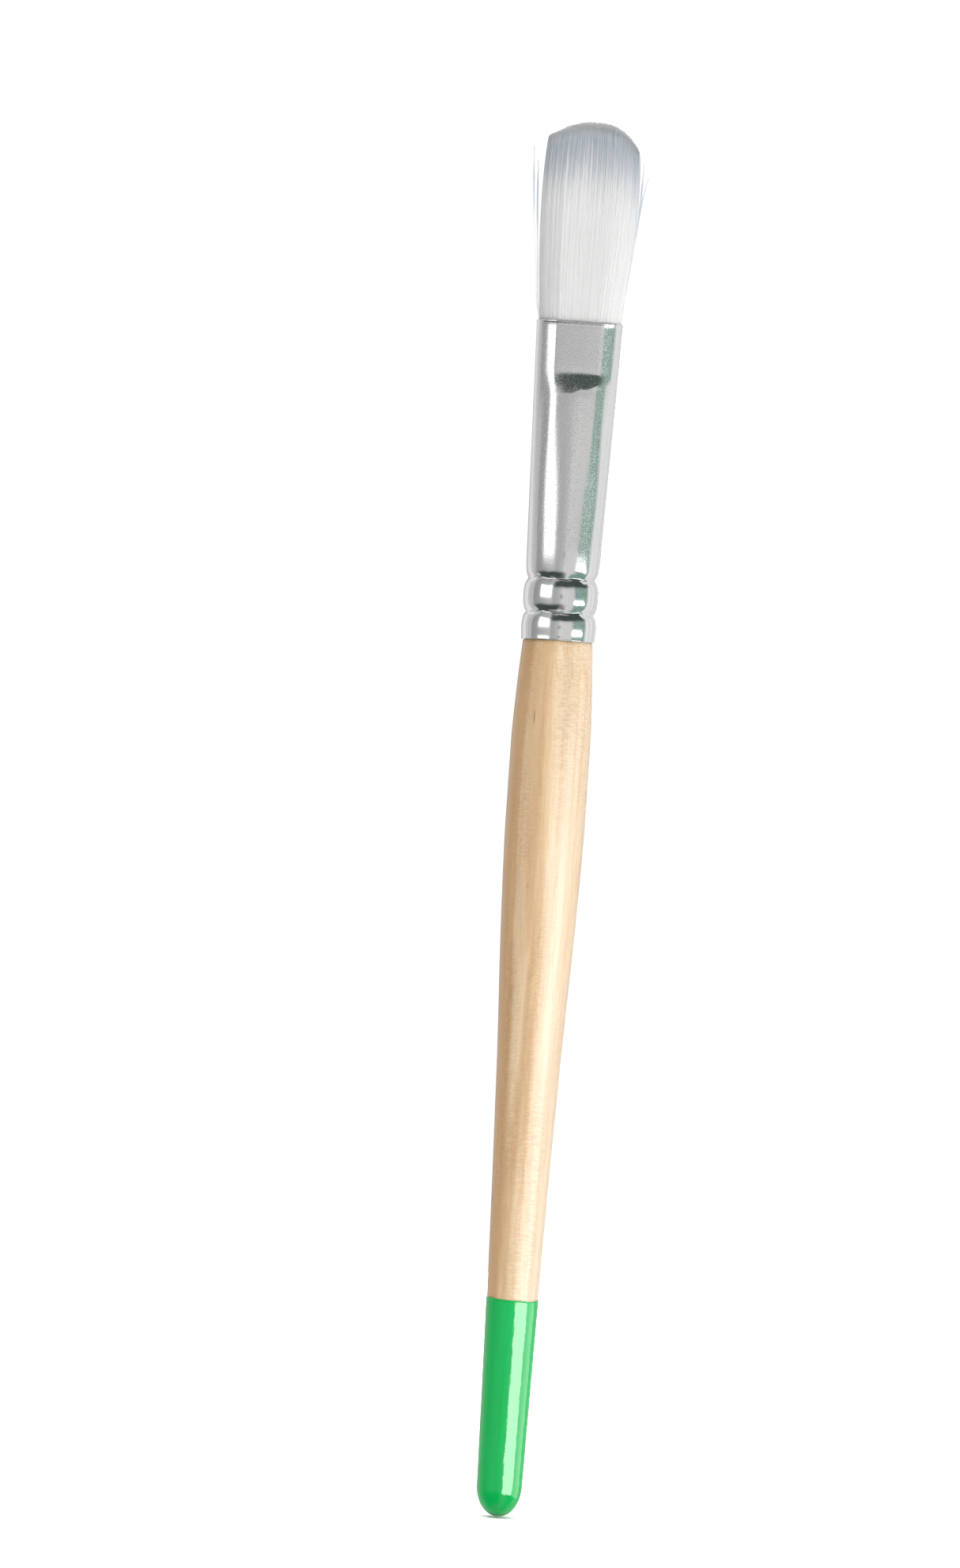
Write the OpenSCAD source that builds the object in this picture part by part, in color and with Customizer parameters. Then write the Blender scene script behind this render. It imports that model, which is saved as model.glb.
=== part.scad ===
// Flat oval brush with a turned wooden handle, a crimped aluminium ferrule and a
// tuft of soft synthetic filaments. The brush stands upright, tuft up. Its origin is the
// middle of the cylindrical land on the handle's belly, its flat faces look along Y.
// Lengths called _s are distances from the butt, measured along the brush.

/* [Handle] */
// Distance from the butt to the ferrule's base rim
handle_l = 132.2; // [131.6:0.1:132.8]
// Radius of the cylindrical land on the belly
grip_r = 6.05; // [5.9:0.05:6.4]
// Length of that land
grip_l = 11; // [6:0.5:12]
// Distance from the butt to the middle of the land
grip_s = 111; // [109:0.5:112]
// Radius of the wood beside the ferrule
neck_r = 5.32; // [5.2:0.02:5.4]
// Radius of the wood where the butt's round nose begins
butt_r = 3.31; // [3:0.01:3.6]
// Length of the butt's round nose
nose_l = 4.6; // [3:0.1:6]
// Length of the tenon inside the ferrule
tenon_l = 12.4; // [11:0.2:12.8]

/* [Colour dip] */
// Length of the dipped end
dip_l = 33; // [20:1:45]
// Thickness of the coat
coat_t = 0.12; // [0.08:0.01:0.2]

/* [Ferrule] */
// Distance from the butt to the mouth of the ferrule
mouth_s = 180.3; // [179.8:0.1:181]
// Thickness of the metal
wall = 0.35; // [0.3:0.01:0.4]
// Radius of the crimped barrel round the tenon
barrel_r = 5.45; // [5.42:0.01:5.55]
// Radius of the flared base rim
rim_r = 5.65; // [5.6:0.01:5.75]
// Depth of the two crimp grooves
groove_d = 0.36; // [0.2:0.02:0.4]
// Half the width of the mouth, outside
mouth_w = 6.55; // [6.5:0.05:6.8]
// Half the distance between the flat panels pressed into its faces
mouth_t = 3.5; // [3.45:0.05:3.6]
// Half the thickness of the oval just below the panels
waist_t = 4.04; // [3.96:0.04:4.2]
// Length of each panel, down from the mouth
panel_l = 8; // [6:0.5:9]

/* [Tuft] */
// Distance from the butt to the tip of the tuft
tip_s = 210; // [206:0.5:214]
// Half the width of the tuft where it is widest
tuft_w = 7.4; // [7:0.1:7.8]
// Half the thickness of the tuft where it is thickest
tuft_t = 3.15; // [3:0.05:3.3]
// Height of the domed end of the tuft
dome_l = 3.6; // [2.5:0.1:5]
// Height of the flex axis above the mouth
flex_h = 1; // [0.8:0.1:1.5]

/* [Hidden] */

rim_s = handle_l;                 // base rim of the ferrule
grooves_s = [136.4, 141.5];       // the two crimps
groove_half = 1.6;                // half the width of a crimp
flare_l = 1.2;                    // length of the flare at the rim
oval_s = 145.6;                   // where the round barrel begins to turn oval
oval_r = 5.65;                    // radius of the barrel there
step_l = 2.2;                     // length of the step below the panels
crown = 0.05;                     // how much a panel bulges in its middle
panel_s = mouth_s - panel_l;      // lower end of the flat panel
glue_t = 0.1;                     // thickness of the film on the tenon
gap = 0.01;                       // clearance between bonded solids
flex_s = mouth_s + flex_h;        // flex axis of the tuft
root_w = 6;                       // half the width of the tuft at the flex axis
root_t = 2.85;                    // half its thickness there
plug_s = 156.5;                   // lower end of the resin plug
plug_l = 12;                      // its length
root_s = 161;                     // lower end of the buried filament roots
root_gap = 0.12;                  // clearance of the roots inside the ferrule
root_inset = 1.2;                 // how much the tied end is narrower than the tube
tie_s = [163.2, 163.9, 164.6];    // turns of the binding thread
thread_r = 0.3;                   // radius of the thread
ring_n = 48;                      // points round a flattened section
turn_n = 8;                       // points round the thread

// Stations of the turned wood, as [distance from the butt, radius]
wood = [[nose_l, butt_r], [33, 3.87], [68, 4.83], [92, 5.76],
        [grip_s - grip_l / 2, grip_r], [grip_s + grip_l / 2, grip_r],
        [125, 5.75], [handle_l, neck_r]];

// Stations of the tuft, as [distance from the butt, half width] and half thickness
tuft_wide = [[flex_s, root_w], [185.5, 6.6], [191, 7.05], [199, tuft_w],
             [tip_s - dome_l, tuft_w - 0.3]];
tuft_thick = [[flex_s, root_t], [190, tuft_t], [198, tuft_t - 0.2],
              [205, 1.9], [tip_s, 0.5]];

function lerp(a, b, t) = a + (b - a) * t;
function clamp01(t) = min(1, max(0, t));
function smooth(t) = let(u = clamp01(t)) u * u * (3 - 2 * u);

// Smooth curve through stations p that never overshoots them
function secant(p, i) = (p[i + 1][1] - p[i][1]) / (p[i + 1][0] - p[i][0]);
function tangent(p, i) =
    i == 0 ? secant(p, 0) :
    i == len(p) - 1 ? secant(p, i - 1) :
    let(a = secant(p, i - 1), b = secant(p, i)) a * b <= 0 ? 0 : 2 * a * b / (a + b);
function span(p, s, i = 0) = i >= len(p) - 2 || s <= p[i + 1][0] ? i : span(p, s, i + 1);
function curve(p, s) =
    let(i = span(p, s), h = p[i + 1][0] - p[i][0], t = (s - p[i][0]) / h)
    (1 + 2 * t) * (1 - t) * (1 - t) * p[i][1] + t * t * (3 - 2 * t) * p[i + 1][1]
    + h * t * (1 - t) * ((1 - t) * tangent(p, i) - t * tangent(p, i + 1));

// Points [radius, distance] along the wood; a span of one radius stays one cylinder
function turned(p, upto) = [
    for (i = [0:len(p) - 2])
        let(n = p[i][1] == p[i + 1][1] ? 1 : 8)
        for (k = [0:n - 1])
            let(s = lerp(p[i][0], p[i + 1][0], k / n))
            if (s < upto - 0.01) [curve(p, s), s],
    [curve(p, upto), upto]
];

// Points of the round nose, grown outwards by g
function nose(g) = [for (a = [0:9:81]) [(butt_r + g) * sin(a), nose_l - (nose_l - coat_t + g) * cos(a)]];

// Outer radius of the ferrule's round barrel, crimps and flare included
function crimp(s, c) = abs(s - c) < groove_half ? (1 + cos(180 * (s - c) / groove_half)) / 2 : 0;
function barrel(s) =
    lerp(barrel_r, oval_r, smooth((s - grooves_s[1]) / (oval_s - grooves_s[1])))
    + (rim_r - barrel_r) * pow(1 - clamp01((s - rim_s) / flare_l), 2)
    - groove_d * (crimp(s, grooves_s[0]) + crimp(s, grooves_s[1]));
barrel_steps = 34;
function barrel_line(from, to, inset) = [
    for (k = [0:barrel_steps]) let(s = lerp(from, to, k / barrel_steps)) [barrel(s) - inset, s]];
function backwards(p) = [for (i = [len(p) - 1:-1:0]) p[i]];

// Oval section at s: [half width, half thickness, half the distance between its flats]
function section(s) =
    let(w = lerp(oval_r, mouth_w, clamp01((s - oval_s) / (mouth_s - oval_s))),
        t = lerp(oval_r, waist_t, clamp01((s - oval_s) / (panel_s - step_l - oval_s))))
    [w, t, lerp(t, mouth_t, smooth((s - panel_s + step_l) / step_l))];

// Outline of a section, shrunk by inset: an ellipse cut off by its nearly flat panels
function outline(sec, inset, z) = [
    for (i = [0:ring_n - 1])
        let(a = 360 * (i + 0.5) / ring_n - 90,
            y = (sec[1] - inset) * sin(a),
            panel = sec[2] - inset - crown * pow(cos(a), 2))
        [(sec[0] - inset) * cos(a), max(-panel, min(panel, y)), z]];

// Side faces between rings of n points, and the loop of faces that closes a tube
function sides(rings, n, closed) = [
    for (r = [0:rings - (closed ? 1 : 2)], j = [0:n - 1])
        let(a = r * n, b = ((r + 1) % rings) * n, k = (j + 1) % n)
        [a + j, b + j, b + k, a + k]];
function flat(rings) = [for (r = rings) for (p = r) p];

// A closed solid through a stack of rings, capped at both ends
module loft(rings) {
    n = len(rings[0]);
    m = len(rings);
    polyhedron(flat(rings), concat([[for (j = [0:n - 1]) j]], sides(m, n, false),
               [[for (j = [n - 1:-1:0]) (m - 1) * n + j]]), convexity = 4);
}

// A closed ring or tube: the last ring of points joins the first
module loop_loft(rings) {
    polyhedron(flat(rings), sides(len(rings), len(rings[0]), true), convexity = 8);
}

module upright() {
    translate([0, 0, -grip_s]) children();
}

// Turned birch handle with its tenon
module handle() {
    tenon_top = rim_s + tenon_l;
    tenon_in = wall + glue_t + 2 * gap;
    color("burlywood") upright() rotate_extrude($fn = 96) polygon(concat(
        nose(0),
        turned(wood, handle_l),
        barrel_line(rim_s, tenon_top - 0.6, tenon_in),
        [[barrel(tenon_top) - tenon_in - 0.6, tenon_top], [0, tenon_top]]));
}

// Enamel coat over the butt end
module colour_dip() {
    grown = function (g) concat(nose(g), [for (p = turned(wood, dip_l)) [p[0] + g, p[1]]]);
    color("limegreen") upright() rotate_extrude($fn = 96)
        polygon(concat(grown(coat_t), backwards(grown(gap))));
}

// Film of glue between the tenon and the ferrule
module tenon_adhesive() {
    film = wall + gap;
    color("khaki") upright() rotate_extrude($fn = 96) polygon(concat(
        barrel_line(rim_s + 0.4, rim_s + tenon_l - 0.8, film),
        backwards(barrel_line(rim_s + 0.4, rim_s + tenon_l - 0.8, film + glue_t))));
}

// Levels of the flattened tube, closer together over the step
tube_s = concat([for (k = [0:7]) lerp(oval_s, panel_s - step_l, k / 8)],
                [for (k = [0:5]) panel_s - step_l + step_l * k / 6],
                [for (k = [0:3]) lerp(panel_s, mouth_s - 0.3, k / 3)]);

// Seamless aluminium ferrule: crimped round barrel, then the tube pressed flat
module ferrule() {
    lip = 0.12;
    seam = 0.02;
    outer = [for (s = tube_s) outline(section(s), s == oval_s ? -seam : 0, s)];
    inner = [for (s = backwards(tube_s)) outline(section(s), wall + (s == oval_s ? seam : 0), s)];
    edge = [outline(section(mouth_s), lip, mouth_s), outline(section(mouth_s), wall - 0.08, mouth_s)];
    color("silver") upright() {
        rotate_extrude($fn = 96) polygon(concat(
            barrel_line(rim_s, oval_s, 0), backwards(barrel_line(rim_s, oval_s, wall))));
        loop_loft(concat(outer, edge, inner));
    }
}

// How far the tied filaments stand in from the tube at s
function roots_in(s) = wall + root_gap + root_inset * (1 - smooth((s - tie_s[2] - 1) / 5));
module root_solid(top_s) {
    levels = [root_s, 162.5, 164, 165.6, 167, 168.6, 170.1, 170.7, 171.3, 171.9, 172.4, 175, top_s];
    loft([for (s = levels) outline(section(s), roots_in(s), s)]);
}

// Roots of the filaments, buried in the ferrule and spread out towards its mouth
module root_bundle() {
    color("whitesmoke") upright() root_solid(flex_s - root_t - 1);
}

// One closed turn of thread round the tied roots
module thread_turn(s, grow) {
    r = thread_r + grow;
    sec = section(s);
    centre = roots_in(s) - thread_r - 0.03;
    loop_loft([for (i = [0:ring_n - 1])
        let(c = outline(sec, centre, s)[i],
            d = [c[0] / pow(sec[0], 2), c[1] / pow(sec[1], 2)],
            u = d / norm(d))
        [for (j = [0:turn_n - 1])
            let(a = -360 * j / turn_n)
            [c[0] + r * cos(a) * u[0], c[1] + r * cos(a) * u[1], s + r * sin(a)]]]);
}

// Thread that ties the roots, in turns that lie against each other
module binding_thread() {
    color("ivory") upright() for (s = tie_s) thread_turn(s, 0);
}

// Resin poured round the tied roots
module resin_plug() {
    levels = [for (k = [0:6]) plug_s + plug_l * k / 6];
    tie = (tie_s[2] - tie_s[0]) / 2 + thread_r + 0.03;
    middle = (tie_s[2] + tie_s[0]) / 2;
    color("goldenrod") upright() difference() {
        loft([for (s = levels) outline(section(s), wall + 0.02, s)]);
        loft([for (s = [root_s - 0.02, 162.5, 164, 165.6, 167, 168.6])
            outline(section(s), roots_in(s) - 0.02, s)]);
        loft([for (s = [middle - tie, middle + tie])
            outline(section(s), roots_in(s) - 2 * thread_r - 0.06, s)]);
    }
}

// Section of the tuft at s, an oval with flats in the mouth's own proportions
function tuft_section(s) =
    let(d = clamp01((s - tip_s + dome_l) / dome_l),
        w = curve(tuft_wide, min(s, tip_s - dome_l)) * sqrt(1 - d * d),
        t = curve(tuft_thick, s))
    [w, t * waist_t / mouth_t, t];

// Tuft outside the ferrule. Its lower end is rounded about the flex axis
module tuft() {
    base = outline(tuft_section(flex_s), 0, flex_s);
    lower = [for (a = [80:-10:10])
        [for (p = base) [p[0], p[1] * cos(a), flex_s - abs(p[1]) * sin(a)]]];
    body = [for (k = [0:10]) lerp(flex_s, tip_s - dome_l, k / 10)];
    dome = [for (a = [15, 30, 45, 60, 72, 82]) tip_s - dome_l + dome_l * sin(a)];
    color("white") upright() tuft_solid(concat(lower,
        [for (s = concat(body, dome)) outline(tuft_section(s), 0, s)]));
}

// Closed below by strips from each point of the first ring to its mirror image
module tuft_solid(rings) {
    n = ring_n;
    half = n / 2;
    m = len(rings);
    under = [for (k = [0:half / 2 - 2]) [k, k + 1, half - 2 - k, half - 1 - k]];
    far = [for (k = [0:half / 2 - 2]) [half + k, half + k + 1, n - 2 - k, n - 1 - k]];
    polyhedron(flat(rings), concat(under, far, [[0, half - 1, half, n - 1]], sides(m, n, false),
               [[for (j = [n - 1:-1:0]) (m - 1) * n + j]]), convexity = 4);
}

handle();
colour_dip();
tenon_adhesive();
ferrule();
resin_plug();
root_bundle();
binding_thread();
tuft();
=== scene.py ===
import math

import bpy
import numpy as np
from mathutils import Matrix, Vector


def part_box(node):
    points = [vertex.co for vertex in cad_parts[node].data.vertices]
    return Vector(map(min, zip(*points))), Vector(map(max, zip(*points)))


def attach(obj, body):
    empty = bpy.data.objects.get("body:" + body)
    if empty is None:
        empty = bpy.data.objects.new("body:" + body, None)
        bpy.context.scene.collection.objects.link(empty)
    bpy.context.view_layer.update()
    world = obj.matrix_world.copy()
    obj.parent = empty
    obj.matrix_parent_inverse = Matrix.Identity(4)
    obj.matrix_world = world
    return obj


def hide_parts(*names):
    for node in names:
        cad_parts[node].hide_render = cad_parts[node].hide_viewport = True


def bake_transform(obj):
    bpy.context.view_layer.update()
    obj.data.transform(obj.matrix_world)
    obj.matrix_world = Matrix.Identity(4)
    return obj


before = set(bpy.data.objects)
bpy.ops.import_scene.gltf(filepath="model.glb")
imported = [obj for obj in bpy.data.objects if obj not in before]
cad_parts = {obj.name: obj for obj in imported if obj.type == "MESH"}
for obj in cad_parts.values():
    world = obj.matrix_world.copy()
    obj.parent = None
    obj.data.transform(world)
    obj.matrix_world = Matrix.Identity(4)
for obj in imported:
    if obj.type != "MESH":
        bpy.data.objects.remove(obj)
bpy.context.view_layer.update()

MM = 0.001
rng = np.random.default_rng(7)

# ---------------------------------------------------------------- places, from the frame
# Shapes are written in millimetres along the brush, counted from the butt, and turned
# into metres of the frame when a mesh is made.
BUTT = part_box("colour_dip")[0].z
HANDLE_L = (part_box("ferrule")[0].z - BUTT) / MM       # butt to the ferrule's base rim
DIP_L = (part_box("colour_dip")[1].z - BUTT) / MM       # length of the dipped end
MOUTH = (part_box("ferrule")[1].z - BUTT) / MM          # butt to the ferrule's mouth
TIP = (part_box("tuft")[1].z - BUTT) / MM               # butt to the tip of the tuft

# Turned wood: the butt's round nose, and (place, radius) stations above it
NOSE_L, NOSE_R = 4.6, 3.31
COAT = 0.12                     # thickness of the enamel on the dipped end
WOOD = [(NOSE_L, NOSE_R), (33, 3.87), (68, 4.83), (92, 5.76), (105.5, 6.05), (116.5, 6.05),
        (125, 5.75), (HANDLE_L, 5.32)]

# Ferrule
WALL = 0.35                     # thickness of the metal
RIM_R, BAND_R, OVAL_R = 5.66, 5.5, 5.65
GROOVES = ((136.4, 0.36), (141.5, 0.4))               # place and depth of each crimp
BEADS = ((134.4, 2.0), (138.95, 2.5))                 # middle and half length of each bead
BEAD_H = 0.20                   # how far a bead stands out
OVAL = 145.6                    # where the round barrel begins to turn oval
MOUTH_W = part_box("ferrule")[1].x / MM                 # half width of the mouth
OVAL_T, MOUTH_T = 4.12, 3.5     # half thickness of the oval, and between the pressed flats
PANEL = MOUTH - 8               # lower end of the flats
CROWN = 0.12                    # how much lower a flat is at its sides than in its middle


def smooth(t):
    u = np.clip(t, 0, 1)
    return u * u * (3 - 2 * u)


def lerp(a, b, t):
    return a + (b - a) * t


def curve(stations, at):
    """Smooth curve through (place, value) stations that never overshoots them."""
    x, y = np.array(stations, float).T
    d = np.diff(y) / np.diff(x)
    both = d[:-1] * d[1:]
    inner = np.where(both > 0, 2 * both / np.where(both > 0, d[:-1] + d[1:], 1), 0)
    m = np.concatenate([d[:1], inner, d[-1:]])
    i = np.clip(np.searchsorted(x, at) - 1, 0, len(x) - 2)
    h = x[i + 1] - x[i]
    t = np.clip((at - x[i]) / h, 0, 1)
    return ((1 + 2 * t) * (1 - t) ** 2 * y[i] + t * t * (3 - 2 * t) * y[i + 1]
            + h * t * (1 - t) * ((1 - t) * m[i] - t * m[i + 1]))


# ---------------------------------------------------------------- meshes
def new_piece(name, verts, faces, material, uv=None):
    """A smooth mesh object; verts in metres of the frame, uv one pair per face corner."""
    mesh = bpy.data.meshes.new(name)
    mesh.from_pydata(verts.tolist(), [], faces)
    mesh.polygons.foreach_set("use_smooth", [True] * len(mesh.polygons))
    if uv is not None:
        layer = mesh.uv_layers.new(name="OFBake")
        layer.data.foreach_set("uv", np.asarray(uv, np.float32).ravel())
    mesh.materials.append(material)
    mesh.update()
    obj = bpy.data.objects.new(name, mesh)
    bpy.context.scene.collection.objects.link(obj)
    return obj


def tube(name, rings, material, closed=False, columns=1):
    """Quads through rings (m, n, 3) in millimetres from the butt; closed joins the last
    ring to the first, otherwise both ends are capped. The map is cut into columns."""
    m, n, _ = rings.shape
    verts = rings.reshape(-1, 3) * MM
    verts[:, 2] += BUTT
    spans = m if closed else m - 1
    i, j = np.meshgrid(np.arange(spans), np.arange(n), indexing="ij")
    up, on = (i + 1) % m, (j + 1) % n
    quads = np.stack([i * n + j, i * n + on, up * n + on, up * n + j], -1).reshape(-1, 4)
    per = math.ceil(spans / columns)
    corners = []
    for di, dj in ((0, 0), (0, 1), (1, 1), (1, 0)):
        u = (i // per + 0.02 + 0.96 * (j + dj) / n) / columns
        v = 0.01 + 0.98 * (i % per + di) / per
        corners.append(np.stack([u, v], -1))
    uv = np.stack(corners, 2).reshape(-1, 2)
    faces = quads.tolist()
    if not closed:
        for ring, flip in ((0, True), (m - 1, False)):
            loop = list(range(ring * n, ring * n + n))
            faces.append(loop[::-1] if flip else loop)
            a = np.linspace(0, 2 * math.pi, n, endpoint=False)
            dot = np.stack([0.004 + 0.003 * np.cos(a), 0.004 + 0.003 * np.sin(a)], -1)
            uv = np.concatenate([uv, dot])
    return new_piece(name, verts, faces, material, uv)


def lathe(profile, n):
    """Rings of n points from (radius, place) pairs in millimetres."""
    a = np.linspace(0, 2 * math.pi, n, endpoint=False)
    r, z = np.array(profile, float).T
    return np.stack([r[:, None] * np.cos(a), r[:, None] * np.sin(a),
                     np.broadcast_to(z[:, None], (len(z), n))], -1)


# ---------------------------------------------------------------- materials
def material(name, **settings):
    """A new material with its Principled shader, set from socket names."""
    mat = bpy.data.materials.new(name)
    mat.use_nodes = True
    shader = mat.node_tree.nodes["Principled BSDF"]
    for key, value in settings.items():
        shader.inputs[key.replace("_", " ")].default_value = value
    return mat, mat.node_tree, shader


def put(tree, kind, inputs=None, **settings):
    """A node; inputs maps a socket's name or number to a value or to another socket."""
    node = tree.nodes.new("ShaderNode" + kind)
    for key, value in settings.items():
        setattr(node, key, value)
    for key, value in (inputs or {}).items():
        if isinstance(value, bpy.types.NodeSocket):
            tree.links.new(value, node.inputs[key])
        else:
            node.inputs[key].default_value = value
    return node


def maths(tree, operation, a, b=0.0, c=0.0, clamp=False):
    return put(tree, "Math", {0: a, 1: b, 2: c}, operation=operation, use_clamp=clamp).outputs[0]


def noise(tree, place, scale, detail=2.0, roughness=0.5, distortion=0.0):
    """Noise of place, an object-space point in millimetres, stretched by scale."""
    stretched = put(tree, "VectorMath", {0: place, 1: scale}, operation="MULTIPLY")
    node = put(tree, "TexNoise", {"Vector": stretched.outputs[0], "Scale": 1.0, "Detail": detail,
                                  "Roughness": roughness, "Distortion": distortion})
    return node.outputs["Fac"]


def ramp(tree, value, *stops, interpolation="LINEAR"):
    """Colour ramp from (place, colour or grey) stops."""
    node = put(tree, "ValToRGB", {"Fac": value})
    node.color_ramp.interpolation = interpolation
    elements = node.color_ramp.elements
    while len(elements) < len(stops):
        elements.new(0.5)
    for element, (place, colour) in zip(elements, stops):
        element.position = place
    for element, (place, colour) in zip(elements, stops):
        rgb = colour if isinstance(colour, tuple) else (colour,) * 3
        element.color = (*rgb, 1)
    return node.outputs["Color"]


def mix(tree, factor, a, b, blend="MIX"):
    """A mixed with B; each colour is an (r, g, b) triple or a socket."""
    a, b = (v if isinstance(v, bpy.types.NodeSocket) else (*v, 1) for v in (a, b))
    return put(tree, "Mix", {0: factor, 6: a, 7: b}, data_type="RGBA", blend_type=blend).outputs[2]


def in_mm(tree):
    """Object coordinates in millimetres."""
    place = put(tree, "TexCoord").outputs["Object"]
    return put(tree, "VectorMath", {0: place, 1: (1000.0,) * 3}, operation="MULTIPLY").outputs[0]


def bump(tree, shader, height, distance, strength=1.0, socket="Normal"):
    node = put(tree, "Bump", {"Height": height, "Distance": distance, "Strength": strength})
    tree.links.new(node.outputs["Normal"], shader.inputs[socket])


def spot(tree, place, centre, size):
    """An oval spot on the front of the handle: 1 in its middle, fading to 0 at its edge."""
    axes = put(tree, "SeparateXYZ", {0: place}).outputs
    squares = []
    for axis, middle, half in ((axes[0], centre[0], size[0]), (axes[2], centre[1], size[1])):
        share = maths(tree, "DIVIDE", maths(tree, "SUBTRACT", axis, middle), half)
        squares.append(maths(tree, "POWER", share, 2.0))
    inside = maths(tree, "SUBTRACT", 1.0, maths(tree, "ADD", *squares), clamp=True)
    front = maths(tree, "LESS_THAN", axes[1], 0.0)
    return maths(tree, "MULTIPLY", front, inside, clamp=True)


# (x, place) of each dark fleck in the wood, and its half width and half height
FLECKS = (((-2.8, 120.5), (0.12, 1.5)), ((-2.06, 95.2), (0.08, 0.4)))


def birch():
    """Lacquered birch: bands, streaks, growth lines, fibres, silky cross figure and dark flecks.
    Its left side is darkened orange-brown by painted shade, its right side paled by a painted
    sheen."""
    mat, tree, shader = material("birch", Roughness=0.42, Coat_Weight=0.9, Coat_Roughness=0.28,
                                 Coat_IOR=1.5, Specular_IOR_Level=0.2)
    place = in_mm(tree)
    bands = noise(tree, place, (0.34, 0.34, 0.010), 3.0, 0.55, 0.25)
    colour = ramp(tree, bands, (0.30, (0.46, 0.30, 0.155)), (0.44, (0.53, 0.375, 0.22)),
                  (0.54, (0.60, 0.455, 0.295)), (0.68, (0.67, 0.54, 0.39)))
    # Left to right across the handle: this places the painted shade on the left and the painted
    # sheen on the right
    outward = put(tree, "VectorMath", {0: place, 1: (1.0, 1.0, 0.0)}, operation="MULTIPLY")
    outward = put(tree, "VectorMath", {0: outward.outputs[0]}, operation="NORMALIZE")
    across = put(tree, "SeparateXYZ", {0: outward.outputs[0]}).outputs[0]
    side = maths(tree, "MULTIPLY_ADD", bands, 0.16, maths(tree, "MULTIPLY_ADD", across, 0.5, 0.42))
    # Painted shade: the left side is darkened orange-brown as though the light fell from the right
    painted_shade_left = ramp(tree, side, (0.0, 0.8), (0.15, 0.7), (0.22, 0.15), (0.4, 0.0))
    colour = mix(tree, painted_shade_left, colour, (0.43, 0.235, 0.085))
    # Painted sheen: the right side is lightened to a pale colour as though the light fell from the
    # right
    painted_sheen_right = ramp(tree, side, (0.5, 0.0), (0.75, 0.65), (1.0, 0.5))
    colour = mix(tree, painted_sheen_right, colour, (0.60, 0.51, 0.40))
    streaks = noise(tree, place, (1.5, 1.5, 0.02), 4.0, 0.65)
    colour = mix(tree, ramp(tree, streaks, (0.38, 0.35), (0.60, 0.0)), colour, (0.52, 0.345, 0.19))
    lines = noise(tree, place, (0.42, 0.42, 0.006), 1.0, 0.4, 0.1)
    line = ramp(tree, lines, (0.488, 0.0), (0.5, 0.35), (0.512, 0.0))
    colour = mix(tree, line, colour, (0.48, 0.26, 0.10))
    fibre = noise(tree, place, (6.0, 6.0, 0.25), 3.0, 0.6)
    colour = mix(tree, 1.0, colour, ramp(tree, fibre, (0.3, 0.86), (0.65, 1.0)), "MULTIPLY")
    ripple = noise(tree, place, (1.1, 1.1, 4.0), 2.0, 0.6)
    where = noise(tree, place, (0.20, 0.20, 0.03), 1.0)
    silky = mix(tree, ramp(tree, where, (0.42, 0.25), (0.60, 1.0)), (1.0, 1.0, 1.0),
                ramp(tree, ripple, (0.36, (0.84, 0.80, 0.74)), (0.64, 1.0)))
    colour = mix(tree, 1.0, colour, silky, "MULTIPLY")
    for centre, size in FLECKS:
        mark = spot(tree, place, (centre[0], centre[1] + BUTT / MM), size)
        rough = maths(tree, "MULTIPLY", mark, maths(tree, "MULTIPLY", fibre, 2.0), clamp=True)
        colour = mix(tree, rough, colour, (0.26, 0.09, 0.04))
    tree.links.new(colour, shader.inputs["Base Color"])
    bump(tree, shader, fibre, 0.00001, 0.35)
    bump(tree, shader, noise(tree, place, (0.9, 0.9, 0.30), 3.0), 0.00003, 0.5, "Coat Normal")
    return mat


def enamel():
    """Glossy green enamel, thicker and darker where it ran, with a slight orange peel."""
    mat, tree, shader = material("green_enamel", Roughness=0.25, Coat_Weight=1.0,
                                 Coat_Roughness=0.09, Coat_IOR=1.6, Specular_IOR_Level=0.0)
    place = in_mm(tree)
    runs = noise(tree, place, (0.25, 0.25, 0.03), 2.0)
    colour = ramp(tree, runs, (0.3, (0.0, 0.28, 0.052)), (0.7, (0.0, 0.35, 0.075)))
    tree.links.new(colour, shader.inputs["Base Color"])
    peel = noise(tree, place, (1.3, 1.3, 0.5), 3.0)
    bump(tree, shader, peel, 0.00006, 0.6)
    bump(tree, shader, peel, 0.00006, 0.6, "Coat Normal")
    return mat


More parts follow.
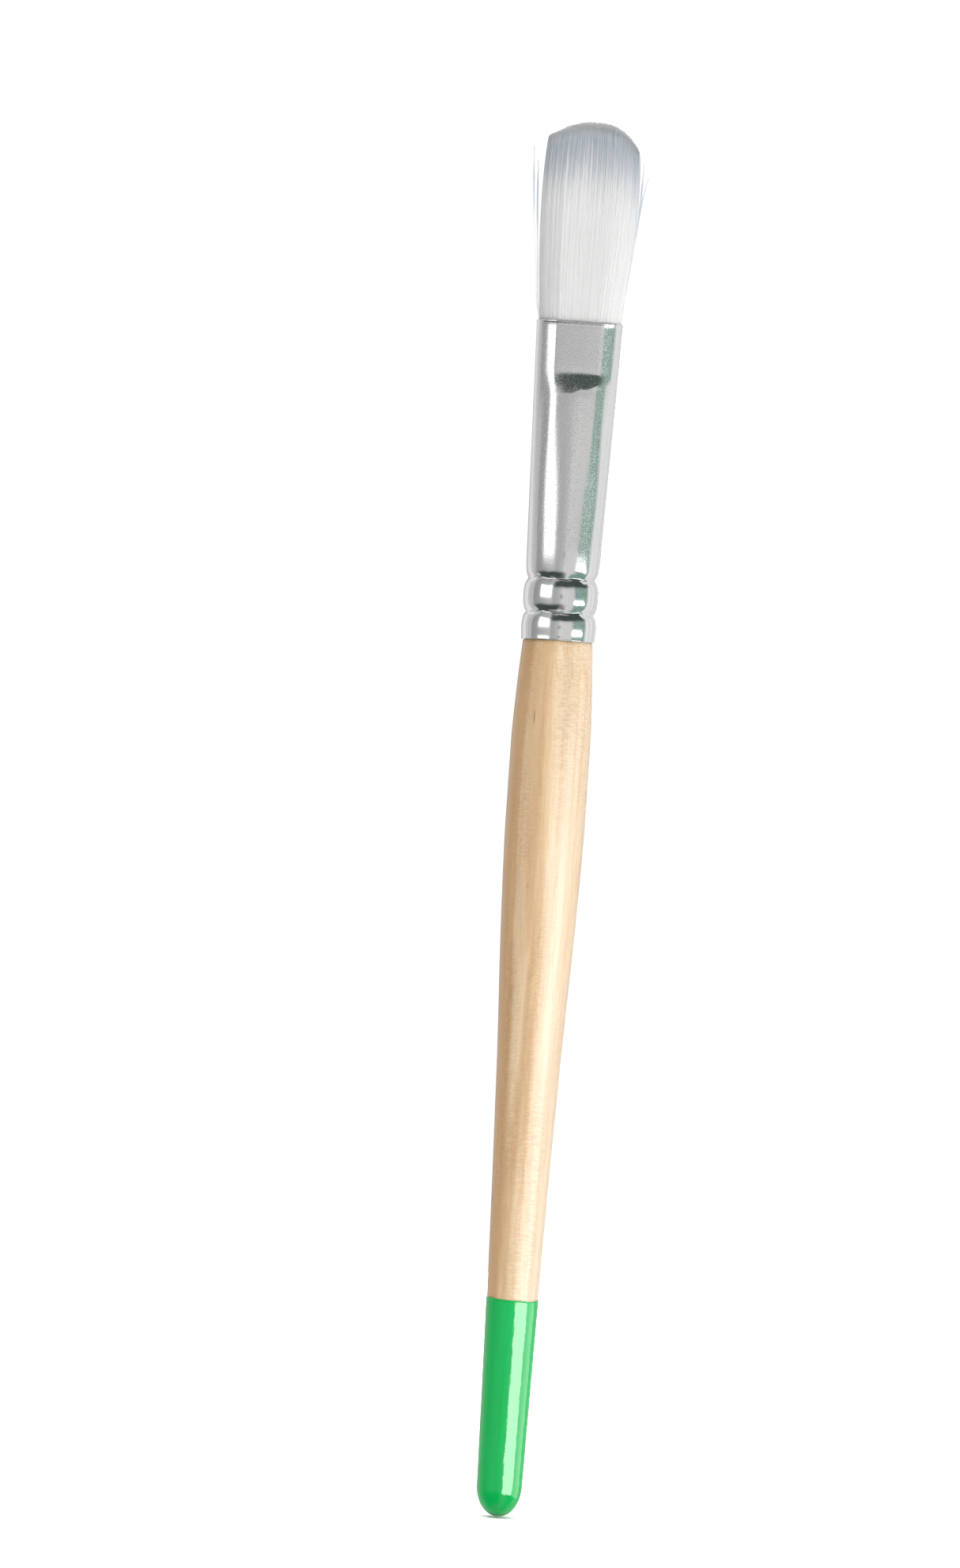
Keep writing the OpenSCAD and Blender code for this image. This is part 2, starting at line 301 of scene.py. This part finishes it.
def aluminium():
    """Bright drawn aluminium. Above the crimps a fine grain, draw marks and small matt
    patches break up its reflections, and it is scuffed at the foot of the flats."""
    mat, tree, shader = material("ferrule_metal", Metallic=1.0)
    place = in_mm(tree)
    axes = put(tree, "SeparateXYZ", {0: place}).outputs
    grain = noise(tree, place, (6.5, 6.5, 6.5), 1.0, 0.6)
    haze = noise(tree, place, (0.35, 0.35, 0.12), 3.0, 0.6)
    marks = noise(tree, place, (3.5, 3.5, 0.03), 2.0, 0.6)
    tone = maths(tree, "MULTIPLY_ADD", marks, 0.6, grain)
    colour = ramp(tree, tone, (0.55, 0.93), (0.8, 0.97), (1.0, 1.0))
    tree.links.new(colour, shader.inputs["Base Color"])
    past_crimps = maths(tree, "SUBTRACT", axes[2], OVAL - 3.5 + BUTT / MM)
    worn = maths(tree, "DIVIDE", past_crimps, 4.0, clamp=True)
    matt = ramp(tree, noise(tree, place, (8.0, 8.0, 8.0), 1.0), (0.46, 0.0), (0.66, 0.26))
    from_foot = maths(tree, "SUBTRACT", axes[2], PANEL - 2.8 + BUTT / MM)
    at_foot = ramp(tree, maths(tree, "ABSOLUTE", from_foot), (0.3, 0.09), (1.0, 0.0))
    aside = maths(tree, "MULTIPLY", maths(tree, "ABSOLUTE", axes[0]), 0.2)
    scuffed = maths(tree, "MULTIPLY", at_foot, ramp(tree, aside, (0.44, 1.0), (0.66, 0.0)))
    rough = maths(tree, "MULTIPLY_ADD", worn, matt, maths(tree, "MULTIPLY_ADD", haze, 0.12, 0.08))
    tree.links.new(maths(tree, "ADD", rough, scuffed), shader.inputs["Roughness"])
    height = maths(tree, "MULTIPLY", tone, maths(tree, "MULTIPLY_ADD", worn, 0.85, 0.15))
    bump(tree, shader, height, 0.000008, 1.0)
    return mat


DYE_L = 14.0                    # the dye fades out over about this length below the tips, in mm


def filament():
    """White translucent synthetic filament, dyed grey-blue towards its tip and grey in its
    last millimetre."""
    mat, tree, shader = material("filament", Roughness=0.5, Specular_IOR_Level=0.2)
    left = put(tree, "Attribute", attribute_name="from_tip").outputs["Fac"]
    tone = put(tree, "Attribute", attribute_name="tone").outputs["Fac"]
    dyed = maths(tree, "MULTIPLY_ADD", maths(tree, "SUBTRACT", tone, 0.5), 6.0, left)
    depth = ramp(tree, maths(tree, "DIVIDE", dyed, DYE_L), (0.0, 0.8), (0.12, 0.95), (0.36, 0.7),
                 (0.62, 0.14), (0.85, 0.0), interpolation="EASE")
    colour = mix(tree, depth, (0.945, 0.945, 0.942), (0.65, 0.69, 0.73))
    colour = mix(tree, ramp(tree, left, (0.0, 0.7), (1.0, 0.0)), colour, (0.60, 0.59, 0.58))
    shade = ramp(tree, tone, (0.0, 0.95), (0.5, 0.99), (1.0, 1.0))
    colour = mix(tree, 1.0, colour, shade, "MULTIPLY")
    tree.links.new(colour, shader.inputs["Base Color"])
    through = put(tree, "BsdfTranslucent", {"Color": colour})
    both = put(tree, "MixShader", {0: 0.65, 1: shader.outputs[0], 2: through.outputs[0]})
    tree.links.new(both.outputs[0], tree.nodes["Material Output"].inputs["Surface"])
    return mat


def inner(name, light, dark, scale, roughness):
    """A hidden piece's material: two tones mottled at its own scale."""
    mat, tree, shader = material(name, Roughness=roughness)
    grain = noise(tree, in_mm(tree), scale, 3.0)
    tree.links.new(ramp(tree, grain, (0.35, dark), (0.65, light)), shader.inputs["Base Color"])
    bump(tree, shader, grain, 0.00005, 0.4)
    return mat


# ---------------------------------------------------------------- handle and dip
def turned(grow, upto):
    """(radius, place) line of the wood from the butt, grown outwards."""
    nose = [((NOSE_R + grow) * math.sin(a), NOSE_L - (NOSE_L - COAT + grow) * math.cos(a))
            for a in np.linspace(0.02, math.pi / 2, 20)]
    above = np.arange(NOSE_L + 0.5, upto - 0.3, 0.5)
    return nose + [(curve(WOOD, s) + grow, s) for s in above]


def make_handle():
    """The turned handle, with a softened arris at the ferrule and the CAD's own tenon."""
    neck = WOOD[-1][1]
    arris = [(neck - 0.02, HANDLE_L - 0.12), (neck - 0.1, HANDLE_L)]
    co = np.array([v.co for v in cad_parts["handle"].data.vertices]) / MM
    places = np.stack([co[:, 2] - BUTT / MM, np.hypot(co[:, 0], co[:, 1])], -1)
    rings = np.unique(np.round(places, 3), axis=0)
    tenon = [(r, z) for z, r in rings if z > HANDLE_L + 0.01 and r > 0.1]
    shoulder = [(tenon[0][0], HANDLE_L + 0.02)]
    end = [(0.1, tenon[-1][1])]
    profile = turned(0, HANDLE_L) + arris + shoulder + tenon + end
    obj = tube("turned_handle", lathe(profile, 144), birch(), columns=2)
    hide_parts("handle")
    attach(obj, "brush")


def make_dip():
    """The coat on the butt end, with a soft bead and a slightly uneven edge where it stopped."""
    edge = curve(WOOD, DIP_L) + COAT
    bead = [(edge - 0.06 + 0.07 * math.cos(a), DIP_L - 0.1 + 0.1 * math.sin(a))
            for a in np.linspace(-1.0, 1.5, 8)]
    under = turned(0.01, DIP_L - 0.3)[::-3]
    rings = lathe(turned(COAT, DIP_L) + bead + under, 144)
    a = np.linspace(0, 2 * math.pi, 144, endpoint=False)
    wave = 0.10 * np.sin(2 * a + 0.7) + 0.05 * np.sin(5 * a + 2.0) + 0.03 * np.sin(9 * a)
    rings[:, :, 2] += smooth((rings[:, :, 2] - DIP_L + 3) / 3) * (wave - 0.1)
    obj = tube("dipped_end", rings, enamel())
    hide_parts("colour_dip")
    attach(obj, "brush")


# ---------------------------------------------------------------- ferrule
def soft_min(a, b, width):
    """The lower of a and b, rounded off where they cross."""
    return np.minimum(a, b) - 0.5 * width * np.exp(-np.abs(a - b) / width)


def barrel(s, a):
    """Outer radius of the round, crimped part at s, towards angle a; the crimps waver."""
    base = lerp(BAND_R, OVAL_R, smooth((s - GROOVES[1][0]) / (OVAL - GROOVES[1][0])))
    base = base + (RIM_R - BAND_R) * (1 - np.clip((s - HANDLE_L) / 1.1, 0, 1)) ** 2
    for middle, half in BEADS:
        base = base + BEAD_H * (1 - np.clip((s - middle) / half, -1, 1) ** 2)
    for k, (centre, depth) in enumerate(GROOVES):
        waver = 0.07 * np.sin(5 * a + k) + 0.05 * np.sin(11 * a + 2 * k) + 0.03 * np.sin(23 * a)
        away = np.sqrt((s - centre - waver) ** 2 + 0.03) - 0.17
        base = base - depth * (1 + 0.1 * np.sin(7 * a + 3 * k)) * np.exp(-away / 0.45)
    return base


def outline(s, inset, n=300):
    """Ring of n points round the tube at s, inset from its outside."""
    a = np.linspace(0, 2 * math.pi, n, endpoint=False)
    w = lerp(OVAL_R, MOUTH_W, np.clip((s - OVAL) / (MOUTH - OVAL), 0, 1))
    t = lerp(OVAL_R, OVAL_T, np.clip((s - OVAL) / (PANEL - 2.2 - OVAL), 0, 1))
    if s < OVAL:
        w = t = barrel(s, a)
    x, y = (w - inset) * np.cos(a), (t - inset) * np.abs(np.sin(a))
    if s > OVAL + 1:
        # The faces swell a little below the step, and the step is a little skew
        swell = (0.20 + 0.022 * x * x) * smooth((5.3 - np.abs(x)) / 2.6)
        swell = swell * smooth((s - OVAL - 5) / 18)
        start = PANEL - 2.6 + 0.26 * x + 0.12 * np.sin(2.5 * x)
        pressed = soft_min(np.clip((s - start) / (PANEL - start), 0, 2) ** 1.2, 1, 0.18)
        flat = soft_min(y, MOUTH_T - CROWN * np.cos(a) ** 2 - inset, 0.05)
        y = lerp(y + swell, flat, pressed)
    return np.stack([x, np.where(np.sin(a) < 0, -y, y), np.full(n, float(s))], -1)


def make_ferrule():
    """The whole tube: rolled rim, crimps, oval taper, step, pressed panel and rolled lip."""
    up = np.concatenate([
        np.arange(HANDLE_L + 0.2, OVAL, 0.12), np.arange(OVAL, PANEL - 5, 0.8),
        np.arange(PANEL - 5, PANEL + 1, 0.12), np.arange(PANEL + 1, MOUTH - 0.5, 0.5)])
    down = np.concatenate([
        np.arange(MOUTH - 0.4, OVAL, -1.0), np.arange(OVAL, HANDLE_L + 0.1, -0.2)])
    outer = [outline(s, 0) for s in up]
    flare = [outline(MOUTH - below, -out)
             for below, out in ((0.45, 0.0), (0.36, 0.03), (0.27, 0.06), (0.18, 0.07))]
    lip = [outline(MOUTH - 0.16 + 0.16 * math.sin(a), lerp(0.13, -0.07, (1 + math.cos(a)) / 2))
           for a in np.linspace(0, math.pi, 9)]
    inside = [outline(s, WALL) for s in down]
    rim = [outline(HANDLE_L + 0.17 - 0.17 * math.sin(a), WALL / 2 + WALL / 2 * math.cos(a))
           for a in np.linspace(0, math.pi, 9)]
    rings = np.array(outer + flare + lip + inside + rim)
    obj = tube("crimped_ferrule", rings, aluminium(), closed=True)
    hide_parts("ferrule")
    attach(obj, "brush")
    return obj


# ---------------------------------------------------------------- tuft
ROOT = MOUTH - 2.6              # where the visible filaments start, inside the mouth
PITCH = 0.155                   # distance between filaments at the mouth
HAIR_R = 0.095                  # radius of a filament
CLUMP = 0.75                    # width of the clumps that the filaments draw into
SKEW = 0.8                      # how far a clump slants, in its widths per half thickness
ROOT_W, ROOT_T = 6.1, 3.0       # half width and half thickness of the roots
ROOT_OVAL = 3.5                 # half height of the oval that the flats are cut from
LEFT_W = [(ROOT, ROOT_W), (MOUTH, 6.15), (185, 6.5), (190, 6.8), (199, 7.08), (206, 6.85),
          (TIP, 6.5)]
RIGHT_W = [(ROOT, ROOT_W), (MOUTH, 6.15), (182.6, 6.3), (186, 6.7), (190, 7.05), (194.5, 7.35),
           (199, 7.5), (205, 7.35), (TIP, 7.0)]
THICK = [(ROOT, ROOT_T), (MOUTH, 3.05), (188, 3.15), (198, 2.85), (205, 1.9), (TIP, 0.75)]
# Height of the end of the tuft over its width: a square left corner, a round right one
DOME = [(-7.2, 206.9), (-6.7, 208.2), (-5.4, 209.0), (-3.3, 210.0), (-0.5, 210.6), (2.2, 210.5),
        (4.6, 209.6), (6.0, 208.4), (7.0, 206.9), (7.5, 205.0)]
DOME_W = (6.85, 7.3)            # half width of the tuft there, left and right


def roots():
    """Filament roots on a slightly shaken hexagonal grid, and in two layers along the
    outline, as shares of the half width and of the half thickness."""
    rows = np.arange(-ROOT_T, ROOT_T + 1e-6, PITCH * math.sqrt(3) / 2)
    grid = [(x + (k % 2) * PITCH / 2, y) for k, y in enumerate(rows)
            for x in np.arange(-ROOT_W, ROOT_W, PITCH)]
    p = np.array(grid) + rng.normal(0, PITCH * 0.16, (len(grid), 2))
    oval = (p[:, 0] / ROOT_W) ** 2 + (p[:, 1] / ROOT_OVAL) ** 2
    p = p[(oval < 0.96) & (np.abs(p[:, 1]) < ROOT_T - 0.06)]
    a = np.arange(0, 4 * math.pi, 0.0121)
    layer = np.where(a < 2 * math.pi, 1, 0.96)[:, None]
    edge = np.stack([ROOT_W * np.cos(a), np.clip(ROOT_OVAL * np.sin(a), -ROOT_T, ROOT_T)], -1)
    edge = edge * rng.uniform(0.97, 0.995, (len(a), 1)) * layer
    return np.concatenate([p, edge]) / (ROOT_W, ROOT_T)


def strand_paths(share, steps):
    """Centre lines (count, steps, 3) in millimetres, drawn into clumps, leaning and waved a
    little at random, and each point's distance from its tip."""
    n = len(share)
    top = curve(DOME, share[:, 0] * np.where(share[:, 0] < 0, *DOME_W))
    top = top - rng.gamma(1.3, 0.30, n) - 0.5 * share[:, 1] ** 2
    s = ROOT + (top - ROOT)[:, None] * np.linspace(0, 1, steps) ** 0.9
    wide = np.where(share[:, :1] < 0, curve(LEFT_W, s), curve(RIGHT_W, s))
    x, y = share[:, :1] * wide, share[:, 1:] * curve(THICK, s)
    rise = np.clip((s - MOUTH) / (TIP - MOUTH), 0, 1)
    cluster = np.round(x[:, :1] / CLUMP + SKEW * share[:, 1:] + rng.normal(0, 0.25, (n, 1)))
    middle = (cluster - SKEW * share[:, 1:]) * CLUMP
    x = x + (middle - x[:, :1]) * 0.07 * rise ** 2.2
    lean = rng.normal(0, 1, (n, 2))
    x = x + lean[:, :1] * 0.055 * rise ** 1.5
    y = y + lean[:, 1:] * 0.04 * rise ** 1.5
    phase = rng.uniform(0, 2 * math.pi, (n, 1))
    x = x + 0.022 * np.sin(phase + s * 0.35) * smooth(rise * 4)
    return np.stack([x, y, s], -1), top[:, None] - s


def strand_piece(name, paths, left, tone, radius, sides, mat):
    """Tapered tubes along the paths, with from_tip and tone stored for the material."""
    n, steps, _ = paths.shape
    along = np.gradient(paths, axis=1)
    along /= np.linalg.norm(along, axis=2, keepdims=True)
    across = np.cross(along, (0.0, 1.0, 0.0))
    across /= np.linalg.norm(across, axis=2, keepdims=True)
    other = np.cross(along, across)
    taper = radius * (0.3 + 0.7 * smooth((left + 0.2) / 4.5))
    a = np.linspace(0, 2 * math.pi, sides, endpoint=False)
    rings = (paths[:, :, None] + taper[:, :, None, None] * (
        across[:, :, None] * np.cos(a)[:, None] + other[:, :, None] * np.sin(a)[:, None]))
    verts = rings.reshape(-1, 3) * MM
    verts[:, 2] += BUTT
    k, i, j = np.meshgrid(np.arange(n), np.arange(steps - 1), np.arange(sides), indexing="ij")
    base, on = (k * steps + i) * sides, (j + 1) % sides
    quads = np.stack([base + j, base + on, base + sides + on, base + sides + j], -1)
    ends = (np.arange(n)[:, None] * steps + (0, steps - 1)) * sides
    caps = np.concatenate([ends[:, :1] + np.arange(sides)[::-1], ends[:, 1:] + np.arange(sides)])
    rows = math.ceil(n / 4)
    corners = []
    for di, dj in ((0, 0), (0, 1), (1, 1), (1, 0)):
        u = (k // rows + 0.03 + 0.94 * (i + di) / (steps - 1)) / 4
        v = (k % rows + 0.1 + 0.8 * (j + dj) / sides) / rows
        corners.append(np.stack([u, v], -1))
    uv = np.stack(corners, 3).reshape(-1, 2)
    spare = np.full((len(caps) * sides, 2), 0.001)
    faces = quads.reshape(-1, 4).tolist() + caps.tolist()
    obj = new_piece(name, verts, faces, mat, np.concatenate([uv, spare]))
    for label, value in (("from_tip", np.repeat(left.ravel(), sides)),
                         ("tone", np.repeat(np.repeat(tone, steps), sides))):
        layer = obj.data.attributes.new(label, "FLOAT", "POINT")
        layer.data.foreach_set("value", value.astype(np.float32))
    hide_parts("tuft")
    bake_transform(obj)
    return obj


def make_tuft():
    """Filaments in layers: the two faces, the inside, and a few strays beside them."""
    mat = filament()
    share = roots()
    tone = rng.beta(2.2, 1.6, len(share))
    oval = share[:, 0] ** 2 + (share[:, 1] * ROOT_T / ROOT_OVAL) ** 2
    outside = np.maximum(oval, share[:, 1] ** 2) > 0.78
    for name, pick, steps, sides, radius in (
            ("tuft_front", outside & (share[:, 1] < 0), 15, 5, HAIR_R),
            ("tuft_back", outside & (share[:, 1] >= 0), 15, 5, HAIR_R),
            ("tuft_middle", ~outside, 9, 4, HAIR_R * 1.35)):
        paths, left = strand_paths(share[pick], steps)
        strand_piece(name, paths, left, tone[pick], radius, sides, mat)
    make_strays(mat)


# Stray filaments: root x and y, then (x, place) points and y at the tip
STRAYS = [
    ((-6.0, -0.6), [(182.8, -6.75), (190.3, -7.45), (196.7, -8.1), (206.3, -8.75)], -1.0),
    ((-6.0, 0.4), [(183.5, -6.65), (190.0, -7.1), (196.8, -7.6), (204.5, -8.0)], 0.8),
    ((6.0, -0.5), [(185.0, 6.6), (191.0, 7.3), (198.3, 7.95), (202.6, 8.75)], -0.9),
    ((6.0, 0.6), [(186.0, 6.8), (194.0, 7.45), (199.5, 7.85), (204.9, 8.0)], 0.3),
    ((-2.6, 2.9), [(186.0, -2.8), (192.0, -3.0), (199.0, -3.6), (205.0, -4.4)], 4.5),
]


def make_strays(mat):
    """Single filaments that stand off the tuft."""
    steps = 24
    paths, left = [], []
    for (x0, y0), points, y1 in STRAYS:
        stations = [(ROOT, x0), (MOUTH, x0 * 1.02)] + points
        s = np.linspace(ROOT, points[-1][0], steps)
        out = smooth((s - MOUTH) / (points[-1][0] - MOUTH))
        paths.append(np.stack([curve(stations, s), lerp(y0, y1, out), s], -1))
        left.append(points[-1][0] - s)
    tone = np.linspace(0.0, 0.2, len(STRAYS))
    strand_piece("stray_filaments", np.array(paths), np.array(left), tone, HAIR_R * 1.3, 6, mat)


# ---------------------------------------------------------------- hidden pieces
# node: its material's name, light and dark tone, scale of the mottling, roughness
HIDDEN = {
    "tenon_adhesive": ("wood_glue", (0.72, 0.62, 0.38), (0.55, 0.44, 0.22), (2, 2, 2), 0.5),
    "resin_plug": ("resin", (0.62, 0.40, 0.13), (0.45, 0.26, 0.07), (0.6, 0.6, 0.6), 0.15),
    "root_bundle": ("buried_roots", (0.86, 0.86, 0.87), (0.62, 0.62, 0.62), (6, 6, 0.2), 0.5),
    "binding_thread": ("thread", (0.86, 0.80, 0.68), (0.55, 0.48, 0.36), (4, 4, 9), 0.9),
}


def dress_hidden():
    """Materials for the CAD pieces inside the ferrule, which keep their own meshes."""
    for node, look in HIDDEN.items():
        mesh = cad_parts[node].data
        mesh.materials.clear()
        mesh.materials.append(inner(*look))


# ---------------------------------------------------------------- floor, light, camera
LEAN = math.radians(3.97)       # how far the brush leans to the right in the picture
VIEW_H = 0.23623                # height of the picture at the brush, in metres
AIM = Vector((-0.01025, 0.0, BUTT + 0.1099))
DISTANCE = 1.2
FILL = 0.30                     # soft light from all round, on matt surfaces
BACKDROP = 1.05                 # white of the background


def make_floor():
    """A pale matt floor just under the butt, which gloss doesn't show."""
    half, height = 0.6, BUTT - 0.0001
    mesh = bpy.data.meshes.new("floor")
    corners = [(-half, -half), (half, -half), (half, half), (-half, half)]
    mesh.from_pydata([(x, y, height) for x, y in corners], [], [(0, 1, 2, 3)])
    mat, tree, shader = material("pale_floor", Roughness=0.9, Specular_IOR_Level=0.1)
    grain = noise(tree, in_mm(tree), (0.02, 0.02, 0.02), 3.0)
    tree.links.new(ramp(tree, grain, (0.3, 0.93), (0.7, 0.95)), shader.inputs["Base Color"])
    mesh.materials.append(mat)
    floor = bpy.data.objects.new("floor", mesh)
    floor.visible_glossy = False
    bpy.context.scene.collection.objects.link(floor)


# name, bearing from the camera's side to the right, height, distance, size, power, and
# whether gloss shows it; a lamp at no distance is above the brush and looks down
LAMPS = (
    ("right_softbox", 42, BUTT - 0.09, 0.5, (0.52, 0.24), 3.6, True),
    ("right_wing", 92, BUTT - 0.09, 0.5, (0.40, 0.24), 0.7, True),
    ("key", 40, 0.12, 0.8, (0.6, 0.6), 3.9, False),
    ("right_strip", 59, BUTT + 0.055, 0.5, (0.30, 0.05), 0.43, True),
    ("left_softbox", -49, 0.135, 0.5, (0.34, 0.25), 0.26, True),
    ("rear_strip", 168, 0.0, 0.6, (0.08, 0.5), 0.7, True),
    ("rear_fill", 180, 0.0, 0.6, (0.4, 0.5), 2.6, False),
    ("overhead", 0, 1.0, 0.0, (1.6, 1.6), 24.0, False),
)


def make_lamp(name, bearing, height, distance, size, power, gloss):
    """A rectangular softbox that looks level at the brush's axis, unseen by the camera."""
    data = bpy.data.lights.new(name, "AREA")
    data.shape = "RECTANGLE"
    data.size, data.size_y = size
    data.energy = power
    lamp = bpy.data.objects.new(name, data)
    a = math.radians(bearing)
    lamp.location = (distance * math.sin(a), -distance * math.cos(a), height)
    if distance > 0:
        back = Vector((lamp.location.x, lamp.location.y, 0))
        lamp.rotation_euler = back.to_track_quat("Z", "Y").to_euler()
    lamp.visible_camera = False
    lamp.visible_glossy = gloss
    bpy.context.scene.collection.objects.link(lamp)


def keep_off(obj, *lamps):
    """The named lamps, set for the lacquer and enamel, neither light obj nor show in it."""
    left_out = bpy.data.collections.new("not_lit")
    left_out.objects.link(obj)
    left_out.collection_objects[0].light_linking.link_state = "EXCLUDE"
    for name in lamps:
        bpy.data.objects[name].light_linking.receiver_collection = left_out


def deg(bearing):
    """Place of a bearing, in degrees from the camera's side to the right, on a ramp of turn."""
    return 0.5 + bearing / 360


def high(elevation):
    """Place of an elevation in degrees on a ramp of rise."""
    return 0.5 + 0.5 * math.sin(math.radians(elevation))


def studio_walls(tree, turn, rise, speck):
    """Walls by bearing: grey behind, pale left and right with narrow grey stripes, darker
    front left, and from 46 to 84 degrees foliage, speckled and paler above."""
    pale, grey = 0.78, (0.58, 0.57, 0.55)
    teal, green = (0.13, 0.25, 0.22), (0.11, 0.23, 0.16)
    walls = ramp(
        tree, turn,
        (0.0, 0.42), (deg(-165), 0.36), (deg(-148), 0.70), (deg(-123), pale),
        (deg(-119), 0.30), (deg(-115), 0.72), (deg(-107), 0.35), (deg(-101), 0.62),
        (deg(-93), 0.28), (deg(-74), 0.32), (deg(-30), 0.50), (deg(-23), 0.36),
        (deg(-3), 0.49), (deg(3), 0.65), (deg(39), grey), (deg(46), teal), (deg(84), green),
        (deg(91), pale), (deg(104), pale), (deg(107), 0.50), (deg(110), pale),
        (deg(122), pale), (deg(125), 0.45), (deg(128), pale), (deg(134), 0.60),
        (deg(141), 0.72), (deg(150), pale), (deg(163), 0.36), (1.0, 0.42))
    leafy = ramp(tree, turn, (deg(42), 0.0), (deg(48), 0.42), (deg(84), 0.42), (deg(90), 0.0))
    walls = mix(tree, maths(tree, "MULTIPLY", leafy, speck), walls, (0.62, 0.68, 0.66))
    paler = maths(tree, "MULTIPLY", leafy, ramp(tree, rise, (high(4.5), 0.0), (high(7), 0.8)))
    return mix(tree, paler, walls, (0.33, 0.41, 0.36))


def studio_gaps(tree, way, bearing, turn, rise):
    """1 in the dark parts of the studio: a gap above to the right, one below to the left,
    and the camera's lens."""
    above = maths(
        tree, "MULTIPLY",
        ramp(tree, rise, (high(13), 0.0), (high(22), 1.0), (high(60), 1.0), (high(72), 0.0)),
        ramp(tree, turn, (deg(-34), 0.0), (deg(-20), 1.0), (deg(88), 1.0), (deg(96), 0.0)))
    below = maths(
        tree, "MULTIPLY",
        ramp(tree, rise, (high(-62), 0.0), (high(-50), 1.0), (high(-22), 1.0), (high(-13), 0.0)),
        ramp(tree, turn, (deg(-100), 0.0), (deg(-88), 1.0), (deg(-5), 1.0), (deg(16), 0.0)))
    across = maths(tree, "POWER", maths(tree, "DIVIDE", bearing, math.radians(5.5)), 2.0)
    along = maths(tree, "DIVIDE", maths(tree, "ADD", way[2], 0.01), 0.035)
    away = maths(tree, "ADD", across, maths(tree, "POWER", along, 2.0))
    lens = maths(tree, "MULTIPLY", maths(tree, "SUBTRACT", 1.6, away, clamp=True), 0.8)
    return maths(tree, "MAXIMUM", maths(tree, "MAXIMUM", above, below), lens)


def make_world():
    """White to the camera, even soft light on matt surfaces, and a painted studio in gloss."""
    world = bpy.data.worlds.new("studio")
    bpy.context.scene.world = world
    world.use_nodes = True
    tree = world.node_tree
    tree.nodes.clear()
    around = put(tree, "TexCoord").outputs["Generated"]
    way = put(tree, "SeparateXYZ", {0: around}).outputs
    bearing = maths(tree, "ARCTAN2", way[0], maths(tree, "MULTIPLY", way[1], -1.0))
    turn = maths(tree, "MULTIPLY_ADD", bearing, 0.5 / math.pi, 0.5)
    rise = maths(tree, "MULTIPLY_ADD", way[2], 0.5, 0.5)
    speck = ramp(tree, noise(tree, around, (23.0, 23.0, 23.0), 2.0, 0.6), (0.50, 0.0), (0.58, 1.0))
    gap = mix(tree, speck, (0.03, 0.045, 0.038), (0.09, 0.11, 0.10))
    dark = studio_gaps(tree, way, bearing, turn, rise)
    seen = mix(tree, dark, studio_walls(tree, turn, rise, speck), gap)
    white = (1.0, 1.0, 1.0, 1)
    gloss = put(tree, "Background", {"Color": seen, "Strength": 1.0}).outputs[0]
    fill = put(tree, "Background", {"Color": white, "Strength": FILL}).outputs[0]
    backdrop = put(tree, "Background", {"Color": white, "Strength": BACKDROP}).outputs[0]
    path = put(tree, "LightPath").outputs
    unseen = put(tree, "MixShader", {0: path["Is Glossy Ray"], 1: fill, 2: gloss}).outputs[0]
    last = put(tree, "MixShader", {0: path["Is Camera Ray"], 1: unseen, 2: backdrop})
    put(tree, "OutputWorld", {"Surface": last.outputs[0]})


def make_camera():
    """The photograph's view: level, from straight in front, with the brush leaning."""
    data = bpy.data.cameras.new("camera")
    data.lens = data.sensor_width * DISTANCE / VIEW_H
    camera = bpy.data.objects.new("camera", data)
    right = Vector((math.cos(LEAN), 0, math.sin(LEAN)))
    up = Vector((-math.sin(LEAN), 0, math.cos(LEAN)))
    turn = Matrix((right, up, (0, -1, 0))).transposed()
    camera.matrix_world = Matrix.Translation(AIM - Vector((0, DISTANCE, 0))) @ turn.to_4x4()
    bpy.context.scene.collection.objects.link(camera)
    bpy.context.scene.camera = camera


make_camera()
make_world()
make_floor()
for lamp_settings in LAMPS:
    make_lamp(*lamp_settings)
bpy.context.scene.view_settings.view_transform = "Standard"

make_handle()
make_dip()
keep_off(make_ferrule(), "right_softbox", "right_wing")
make_tuft()
dress_hidden()
